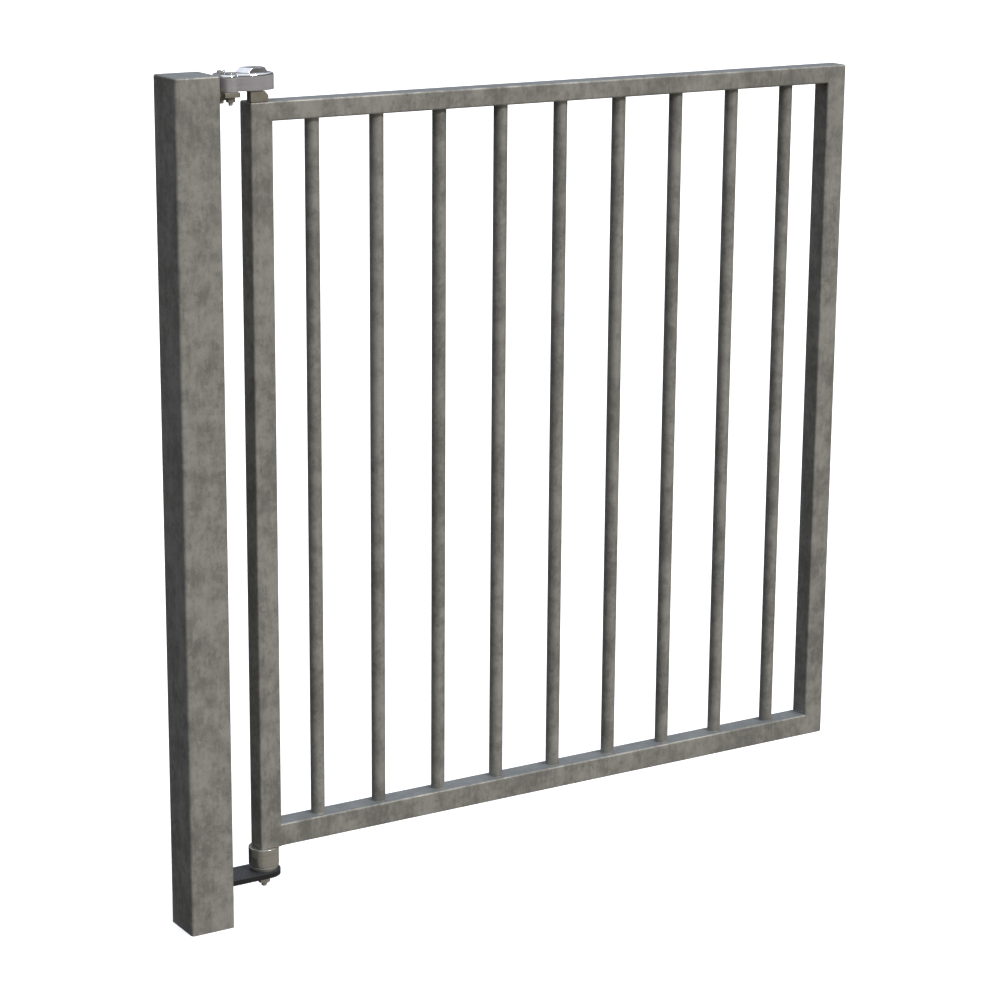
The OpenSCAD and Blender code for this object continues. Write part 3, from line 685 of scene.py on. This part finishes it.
def stands_for(obj, body, slot_name, *nodes):
    """The piece rides on a body and hides the CAD nodes it replaces; slot_name is not used."""
    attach(obj, body)
    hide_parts(*nodes)


# ---- threads, nuts and screws ----

def hexagon(a, flats):
    """Distance from the middle of a hexagon to its side, in direction a."""
    return flats / 2 / np.cos((a + pi / 6) % (pi / 3) - pi / 6)


def rod(name, centre, bottom, top, radius, pitch, thread_top, tip):
    """A threaded rod: the radius falls by the thread's depth in a ridge that climbs by the pitch
    each turn, r = R - d |2 frac(z / pitch - a / 2pi) - 1|, fading out at both ends. The tip is
    a quarter ellipse."""
    depth = 0.61 * pitch
    rows = np.arange(bottom + tip, thread_top, pitch / 10)
    dome = np.linspace(0, pi / 2, 8)[:-1]
    lead = 0.62 * radius
    tip_r = lead + (radius - depth - lead) * np.sin(dome)
    tip_z = bottom + tip * (1 - np.cos(dome))
    profile = np.concatenate([
        np.stack([tip_r, tip_z], 1),
        np.stack([np.full(len(rows), radius), rows], 1),
        [(radius, thread_top + pitch), (radius, top)]])
    profile = np.concatenate([profile, np.zeros((len(profile), 1))], 1)

    def ridge(a, r, z):
        wave = np.abs(2 * ((z / pitch - a / TURN) % 1) - 1)
        start = np.clip((z - bottom - tip) / pitch, 0, 1)
        fade = start * np.clip((thread_top - z) / pitch, 0, 1)
        on_thread = (z >= bottom + tip) & (z < thread_top)
        return np.where(on_thread, r - depth * (1 - start) - depth * wave * fade, r)

    return turned(name, profile, centre, 48, ring=False, radius=ridge)


def nut(name, centre, bottom, top, flats, bore, turn=0.0):
    """A nut: a disc with chamfered rims cut by a hexagon, r = min(disc, hexagon), around a bore
    with its own small chamfers."""
    corner = flats / sqrt(3)
    face = 0.475 * flats
    drop = (corner - face) / sqrt(3)
    rim_points = 6
    rim = np.linspace(0, 1, rim_points)
    lower = np.stack([face + (corner - face) * rim, bottom + drop * rim], 1)
    upper = lower[::-1] * (1, -1) + (0, bottom + top)
    lip = 0.4 * MM
    inner = np.array([(bore + lip, top), (bore, top - lip), (bore, bottom + lip), (bore + lip, bottom)])
    profile = np.concatenate([lower, upper, inner])
    mark = np.zeros((len(profile), 1))
    mark[:2 * rim_points] = 0.7
    profile = np.concatenate([profile, mark], 1)
    return turned(name, profile, centre, 96,
                  radius=lambda a, r, z: np.where(r > bore + lip, np.minimum(r, hexagon(a + turn, flats)), r))


def washer(name, centre, bottom, top, outer, bore):
    """A flat ring with its rims eased."""
    return turned(name, soft([(bore, bottom), (outer, bottom), (outer, top), (bore, top)],
                             [0.1 * MM, 0.3 * MM, 0.4 * MM, 0.1 * MM]), centre, 64)


def socket_screw(name, centre, seat, head_r, head_h, socket, socket_deep, end, radius, pitch, thread_top):
    """A screw with a round head and a hexagon socket. Inside the socket's rim each radius is
    scaled to the hexagon, r = r hexagon(a) / corner."""
    top = seat + head_h
    corner = socket / sqrt(3)
    head = soft([(radius, seat), (head_r, seat), (head_r, top), (corner * 1.12, top)],
                [0, 0.2 * MM, 0.9 * MM, 0], closed=False)
    well = np.array([(corner, top - 0.25 * MM, 0.4), (corner, top - socket_deep, 0),
                     (0.3 * corner, top - socket_deep - 0.3 * MM, 0)])
    head = turned(name, np.concatenate([head, well]), centre, 96, ring=False,
                  radius=lambda a, r, z: np.where((r <= corner * 1.001) & (z > seat + 1e-6),
                                                  r * hexagon(a, socket) / corner, r))
    shank = rod(name, centre, end, seat + 0.5 * MM, radius, pitch, thread_top, 1.2 * MM)
    return joined(name, [head, shank])


# ---- the head ----

def arc(centre, radius, start, stop, steps):
    """Points of a circle between two angles, in degrees."""
    a = np.radians(np.linspace(start, stop, steps))
    return np.stack([centre[0] + radius * np.cos(a), centre[1] + radius * np.sin(a)], 1)


def head_plan():
    """Half width of the head at each x: the largest of a foot lobe, a waist and a long lobe
    between two long arcs, mirrored to the other side."""
    start, stop = low("head_body")[0], high("head_body")[0]
    foot_half = high("head_body")[1]
    lobe = 15 * MM
    foot_x = start + lobe
    reach_r = 37 * MM
    centre_x = stop - reach_r
    side_r, half, waist_half = 60 * MM, 23 * MM, 14 * MM
    t = np.linspace(0, pi, 260)
    x = (start + stop) / 2 - (stop - start) / 2 * np.cos(t)
    foot = foot_half - lobe + np.sqrt(np.maximum(lobe ** 2 - (x - foot_x) ** 2, 0))
    foot = np.where(x > foot_x + lobe, 0, foot)
    waist = np.where((x > foot_x) & (x < AXIS[0]), waist_half, 0)
    long_arc = np.sqrt(np.maximum(side_r ** 2 - (x - centre_x) ** 2, 0)) - side_r + half
    round_end = np.sqrt(np.maximum(reach_r ** 2 - (x - centre_x) ** 2, 0))
    y = np.maximum(np.maximum(foot, waist), np.minimum(long_arc, round_end))
    upper = np.stack([x, y], 1)
    lower = upper[::-1] * (1, -1)
    return outline(np.concatenate([upper, lower]), spacing=0.7 * MM, rounding=0.9 * MM)


def bolt_places():
    """Middles of the head's two screws, which lie in a line along Y."""
    x, side = middle("head_bolts")[0], high("head_bolts")[1] - SCREW_HEAD_R
    return [(x, -side), (x, side)]


def head():
    """The cast body: an upright wall above a small round, a polished shoulder that rolls in by
    3 mm over 4.5 mm, a boss that flares down round the spindle, and the bores and counterbores."""
    bottom, roll, lower_r = BRACKET_TOP, 3 * MM, 1.6 * MM
    t = np.linspace(0, pi / 2, 9)
    unmarked = np.zeros(len(t))
    foot_round = np.stack([lower_r * (1 - np.sin(t)), bottom + lower_r * (1 - np.cos(t)), unmarked], 1)
    shoulder = np.stack([roll * (1 - np.cos(t)), WALL_TOP + (HEAD_TOP - WALL_TOP) * np.sin(t),
                         np.sin(2 * t)], 1)
    profile = np.concatenate([[(lower_r + MM, bottom, 0)], foot_round, [(0, WALL_TOP - 0.3 * MM, 0)],
                              shoulder, [(roll + 1.5 * MM, HEAD_TOP, 0)]])
    body = thing("head_casting", raised("head_casting", head_plan(), profile, level), "alloy")
    flare_r, narrowing, sunk = 14 * MM, 4 * MM, 0.5 * MM
    boss_bottom = low("head_body")[2]
    boss_h = bottom - boss_bottom
    boss = np.stack([flare_r - narrowing * np.sin(t),
                     bottom + sunk - (boss_h + sunk) * (1 - np.cos(t)), unmarked], 1)[::-1]
    boss[0, 1] = boss_bottom
    boss = np.concatenate([boss, [(flare_r, bottom + 2 * MM, 0)]])
    carve(body, [turned("boss", boss, AXIS, 96, ring=False)], "UNION")
    screw_bore, counterbore, stem_bore = 4.3 * MM, 7 * MM, 5 * MM
    cuts = []
    for place in bolt_places():
        cuts.append(hole(place, screw_bore, bottom - MM, HEAD_TOP + MM))
        cuts.append(hole(place, counterbore, SCREW_SEAT, HEAD_TOP + MM, 96))
    cuts.append(hole(AXIS, high("spindle")[0] - AXIS[0], boss_bottom - MM, high("spindle")[2], 96))
    cuts.append(hole(AXIS, stem_bore, boss_bottom, HEAD_TOP + MM))
    carve(body, cuts)
    stands_for(body, "post_side", "alloy", "head_body")


def cover():
    """The raised cover: plain facets that lean in from foot to top. A facet's level line lies at
    d = foot - t lean from the axis, facing its own way; neighbours with lines d, e and ways a, b
    meet at ((d sin b - e sin a), (e cos a - d cos b)) / sin(b - a). Every edge has a fine bevel."""
    lo, hi = low("head_cover"), high("head_cover")
    facets = np.array([(3, 22.9, 5), (50, 20.2, 4.8), (90, 18, 4.5), (129.5, 23.5, 4),
                       (194, 24.2, 9.2), (208, 23, 9.1), (270, 17.5, 2.2), (312, 20.6, 4)])
    a = np.radians(facets[:, 0])
    b = np.roll(a, -1)
    rows = []
    for t, z in ((0, lo[2]), (0, lo[2] + MM), (1, hi[2] - 0.3 * MM)):
        d = (facets[:, 1] - t * facets[:, 2]) * MM
        e = np.roll(d, -1)
        plan = np.stack([d * np.sin(b) - e * np.sin(a), e * np.cos(a) - d * np.cos(b)], 1)
        plan = plan / np.sin(b - a)[:, None]
        rows.append(np.column_stack([plan + AXIS, np.full(len(facets), z)]))
    mesh = skin("head_cover_facets", np.array(rows), 0.0, False)
    obj = thing("head_cover_facets", mesh, "polished", angle=10)
    bevel = obj.modifiers.new("edges", "BEVEL")
    bevel.width = 0.35 * MM
    bevel.segments = 3
    bevel.limit_method = "ANGLE"
    bevel.angle_limit = radians(8)
    bevel.harden_normals = True
    stands_for(obj, "post_side", "alloy", "head_cover")


def head_fasteners():
    """Two socket screws down through the head and the bracket, with washers and nuts."""
    washer_z, nut_z = low("head_washers")[2], low("head_nuts")[2]
    screws, washers, nuts = [], [], []
    for place in bolt_places():
        screws.append(socket_screw("screw", place, SCREW_SEAT, head_r=SCREW_HEAD_R,
                                   head_h=high("head_bolts")[2] - SCREW_SEAT, socket=6 * MM,
                                   socket_deep=4 * MM, end=low("head_bolts")[2], radius=4 * MM,
                                   pitch=1.25 * MM, thread_top=washer_z))
        washers.append(washer("washer", place, washer_z, high("head_washers")[2], outer=8 * MM,
                              bore=4.2 * MM))
        nuts.append(nut("nut", place, nut_z, washer_z, flats=13 * MM, bore=3.9 * MM))
    stands_for(thing("head_screws", joined("head_screws", screws), "bright_steel"), "post_side", "steel",
               "head_bolts")
    stands_for(thing("head_screw_washers", joined("head_screw_washers", washers), "plated"),
               "post_side", "plated", "head_washers")
    stands_for(thing("head_screw_nuts", joined("head_screw_nuts", nuts), "plated"), "post_side", "plated",
               "head_nuts")


def bead(name, x, z, half, leg, up):
    """A fillet weld along Y in the corner between an upright face at x and a level one at z; up is
    1 above the level face and -1 below it. Its section is r(s) = leg / (cos^q s + sin^q s)^(1/q);
    crescent ripples ride on it and it thins out at both ends."""
    q, pitch = 1.35, 1.9 * MM
    y = np.linspace(-half, half, int(half / MM * 6))[:, None]
    s = np.linspace(0, pi / 2, 11)[None, :]
    r = leg / (np.cos(s) ** q + np.sin(s) ** q) ** (1 / q)
    ripple = np.sin(TURN * (y + 1.1 * MM * np.sin(2 * s)) / pitch)
    wander = np.sin(y / (7.3 * MM)) + np.sin(y / (3.1 * MM) + 1.0)
    ends = np.sqrt(np.clip((half - np.abs(y)) / (2.2 * MM), 0.04, 1))
    r = r * (0.9 + 0.035 * ripple + 0.015 * wander) * ends
    face = np.stack([x + r * np.cos(s), np.broadcast_to(y, r.shape), z + up * r * np.sin(s)], 2)
    root = np.stack([np.full_like(y, x), y, np.full_like(y, z)], 2)
    rows = np.concatenate([face, root], 1)
    return skin(name, rows, 0.0, False)


def welds(name, bottom, top, half, finish, node):
    """The two beads that hold a plate to the post, one under it and one on top of it."""
    beads = [bead("bead", POST_FACE, bottom, half, WELD_LEG, -1),
             bead("bead", POST_FACE, top, half, WELD_LEG, 1)]
    stands_for(thing(name, joined(name, beads), finish, SOFTER_BELOW), "post_side", finish, node)


def bracket():
    """The plated bracket plate, its neck welded to the post above and below."""
    lo, hi = low("head_bracket"), high("head_bracket")
    neck, neck_length = 14 * MM, 14 * MM
    foot = lo[0] + neck_length
    plan = [(lo[0], -neck), (foot, -neck), (foot, lo[1]), (hi[0], lo[1]), (hi[0], hi[1]), (foot, hi[1]),
            (foot, neck), (lo[0], neck)]
    curve = outline(plan, spacing=0.6 * MM, rounding=0.6 * MM)
    rims = plate_profile(lo[2], hi[2], edge_radius=0.4 * MM)
    body = thing("bracket_plate", raised("bracket_plate", curve, rims, level), "plated")
    screw_bore = 4.5 * MM
    carve(body, [hole(place, screw_bore, lo[2] - MM, hi[2] + MM) for place in bolt_places()])
    stands_for(body, "post_side", "plated", "head_bracket")
    welds("bracket_beads", lo[2], hi[2], neck, "plated", "bracket_weld")


# ---- the clamp block on the leaf ----

def clamp():
    """The plated block on the stile: an upright outline with one sloping corner, its rims eased,
    bored for the closer's neck and for two screws."""
    lo, hi = low("clamp_block"), high("clamp_block")
    slope = 6.5 * MM
    plan = [(lo[0], lo[2]), (hi[0], lo[2]), (hi[0], hi[2] - slope - MM), (hi[0] - slope, hi[2]),
            (lo[0], hi[2])]
    curve = outline(plan, spacing=0.4 * MM, rounding=0.6 * MM)
    rims = plate_profile(lo[1], hi[1], edge_radius=0.35 * MM)
    body = thing("clamp_body", raised("clamp_body", curve, rims, facing), "plated")
    neck_bore, boss_bore, boss_room = 9.05 * MM, 10.5 * MM, 4.5 * MM
    cuts = [hole(AXIS, neck_bore, lo[2] - MM, hi[2] + MM, 96),
            hole(AXIS, boss_bore, BRACKET_TOP - boss_room, hi[2] + MM, 96)]
    screw_r, head_r, counterbore, seat = 2.5 * MM, 4.25 * MM, 4.5 * MM, hi[2] - 5 * MM
    centres = screw_places("clamp_screws", head_r)
    for centre in centres:
        cuts.append(hole(centre, screw_r, lo[2] - MM, hi[2] + MM))
        cuts.append(hole(centre, counterbore, seat, hi[2] + MM))
    carve(body, cuts)
    stands_for(body, "leaf", "plated", "clamp_block")
    screws = [socket_screw("screw", centre, seat, head_r, head_h=4.5 * MM, socket=4 * MM,
                           socket_deep=2.5 * MM, end=low("clamp_screws")[2], radius=screw_r, pitch=0.8 * MM,
                           thread_top=seat - 3 * MM) for centre in centres]
    stands_for(thing("clamp_screw_pair", joined("clamp_screw_pair", screws), "steel"), "leaf", "steel",
               "clamp_screws")


def screw_places(node, head_r):
    """Middles of the two screws of a node that lie in a line along X."""
    lo, hi = low(node), high(node)
    y = (lo[1] + hi[1]) / 2
    return [(lo[0] + head_r, y), (hi[0] - head_r, y)]


# ---- the lower hinge ----

def pivot():
    """The plate, the fixed ring, the turning cup, the threaded pivot and what holds it."""
    lo, hi = low("hinge_plate"), high("hinge_plate")
    half = hi[1]
    plan = np.concatenate([[(lo[0], -half)], arc(AXIS, half, -90, 90, 90), [(lo[0], half)]])
    curve = outline(plan, spacing=0.9 * MM, rounding=0.8 * MM)
    rims = plate_profile(lo[2], hi[2], edge_radius=0.5 * MM)
    plate = thing("pivot_plate", raised("pivot_plate", curve, rims, level), "blacked")
    carve(plate, [hole(AXIS, STUD_R, lo[2] - MM, hi[2] + MM)])
    stands_for(plate, "post_side", "blacked", "hinge_plate")
    welds("plate_beads", lo[2], hi[2], half, "blacked", "plate_weld")
    ring_z, ring_top = low("base_ring")[2], high("base_ring")[2]
    ring_r, foot_r, bore = high("base_ring")[0] - AXIS[0], 22.5 * MM, 8 * MM
    ring = soft([(bore, ring_z), (foot_r, ring_z), (ring_r, ring_top - 1.6 * MM), (ring_r, ring_top),
                 (bore, ring_top)], [0.2 * MM, 0.3 * MM, 1.2 * MM, 0.4 * MM, 0.2 * MM])
    stands_for(thing("fixed_ring", turned("fixed_ring", ring, AXIS), "dull_nickel"), "post_side", "nickel",
               "base_ring")
    cup_lo, cup_top = low("bearing_cup")[2], high("bearing_cup")[2]
    cup_r, chamber, neck = high("bearing_cup")[0] - AXIS[0], 19 * MM, 10 * MM
    chamber_top = low("pivot_bush")[2]
    cup = soft([(chamber, cup_lo), (cup_r - 0.8 * MM, cup_lo), (cup_r, cup_lo + 1.2 * MM),
                (cup_r, cup_top - MM), (cup_r - MM, cup_top), (neck, cup_top), (neck, chamber_top),
                (chamber, chamber_top)],
               [0.3 * MM, 0.5 * MM, 0.6 * MM, 0.35 * MM, 0.35 * MM, 0.1 * MM, 0.1 * MM, 0.2 * MM])
    stands_for(thing("turning_cup", turned("turning_cup", cup, AXIS, 128), "nickel"), "leaf", "nickel",
               "bearing_cup")
    pin_r, tip_r = high("pivot_pin")[0] - AXIS[0], 3 * MM
    pin_top, stud_low = high("pivot_pin")[2], low("pivot_pin")[2]
    shaft = soft([(STUD_R, ring_z), (pin_r, ring_z), (pin_r, pin_top), (tip_r, pin_top)],
                 [0, 0.2 * MM, 0.8 * MM, 0], closed=False)
    stud = rod("stud", AXIS, stud_low, ring_z + 0.5 * MM, STUD_R, pitch=1.75 * MM,
               thread_top=lo[2] - 0.5 * MM, tip=3 * MM)
    pin = joined("pivot_stud", [turned("shaft", shaft, AXIS, 64, ring=False), stud])
    stands_for(thing("pivot_stud", pin, "steel"), "post_side", "steel", "pivot_pin")
    flats, thread_bore = 18 * MM, 5.8 * MM
    full = nut("nut", AXIS, low("pivot_nut")[2], high("pivot_nut")[2], flats, thread_bore)
    stands_for(thing("stud_nut", full, "nickel"), "post_side", "nickel", "pivot_nut")
    thin = nut("nut", AXIS, low("lock_nut")[2], high("lock_nut")[2], flats, thread_bore, turn=radians(-20))
    stands_for(thing("stud_lock_nut", thin, "nickel"), "post_side", "nickel", "lock_nut")
    flat = washer("washer", AXIS, low("pivot_washer")[2], high("pivot_washer")[2], outer=12 * MM,
                  bore=6.1 * MM)
    stands_for(thing("stud_washer", flat, "steel"), "post_side", "steel", "pivot_washer")


# ---- the closer's spring ----

def spring():
    """A coil spring with closed, level ends: a round wire on the helix
    C(u) = axis + (R cos u, R sin u, z(u)), where z rises slowly over the first and last turn."""
    lo, hi = low("return_spring"), high("return_spring")
    wire, stroke, around = 1.3 * MM, 22 * MM, 12
    coil = high("return_spring")[0] - AXIS[0] - wire
    turns = 11
    u = np.linspace(0, TURN * turns, turns * 40)
    ends = np.clip(np.minimum(u, u[-1] - u) / TURN, 0, 1)
    rise = np.cumsum(0.32 + 0.68 * ends * ends * (3 - 2 * ends))
    z = lo[2] + wire + (rise - rise[0]) / (rise[-1] - rise[0]) * (hi[2] - lo[2] - 2 * wire)
    centre = np.stack([AXIS[0] + coil * np.cos(u), AXIS[1] + coil * np.sin(u), z], 1)
    out = np.stack([np.cos(u), np.sin(u), np.zeros_like(u)], 1)
    a = np.arange(around) * TURN / around
    rows = centre[:, None] + wire * (np.cos(a)[None, :, None] * out[:, None]
                                     + np.sin(a)[None, :, None] * np.array([0, 0, 1.0]))
    obj = thing("closing_spring", skin("closing_spring", rows, 0.0, False), "steel", SOFTER_BELOW)
    stands_for(obj, "leaf", "steel", "return_spring")
    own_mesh(obj)


# ---- weld fillets on the leaf ----

def bar_fillets():
    """A small smooth fillet round both ends of every bar: a quarter hollow of 1 mm, with a slow
    ripple around it."""
    leg, buried, sunk = 1.0 * MM, 0.3 * MM, 0.1 * MM
    ripple, waves, shift = 0.15 * MM, 9, 2.1
    t = np.linspace(0, pi / 2, 6)
    meshes = []
    bars = sorted(name for name in frame["nodes"] if name.startswith("bar_"))
    for number, name in enumerate(bars):
        lo, hi = low(name), high(name)
        centre = (lo[:2] + hi[:2]) / 2
        radius = hi[0] - centre[0]
        for end, up in ((lo[2], 1), (hi[2], -1)):
            out = radius + leg * (1 - np.sin(t))
            rise = end + up * leg * (1 - np.cos(t))
            hollow = np.stack([out, rise, np.zeros(len(t))], 1)
            root = [(radius - buried, end + up * leg, 0), (radius - buried, end - up * sunk, 0),
                    (radius + leg, end - up * sunk, 0)]
            profile = np.concatenate([hollow, root])

            def uneven(a, r, z, phase=number + up):
                return r + (r > radius + 0.2 * MM) * ripple * np.sin(waves * a + shift * phase)

            meshes.append(turned("fillet", profile, centre, 60, radius=uneven))
    obj = thing("bar_fillets", joined("bar_fillets", meshes), "galvanised", SOFTER_BELOW)
    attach(obj, "leaf")


def dress_nodes():
    """Every CAD node that is still shown takes the finish of its own slot."""
    for node in frame["nodes"].values():
        for holder in node.material_slots:
            holder.material = FINISHES[holder.material.name.split(".")[0]]


camera()
studio()
dress_nodes()
head()
cover()
head_fasteners()
bracket()
clamp()
pivot()
spring()
bar_fillets()
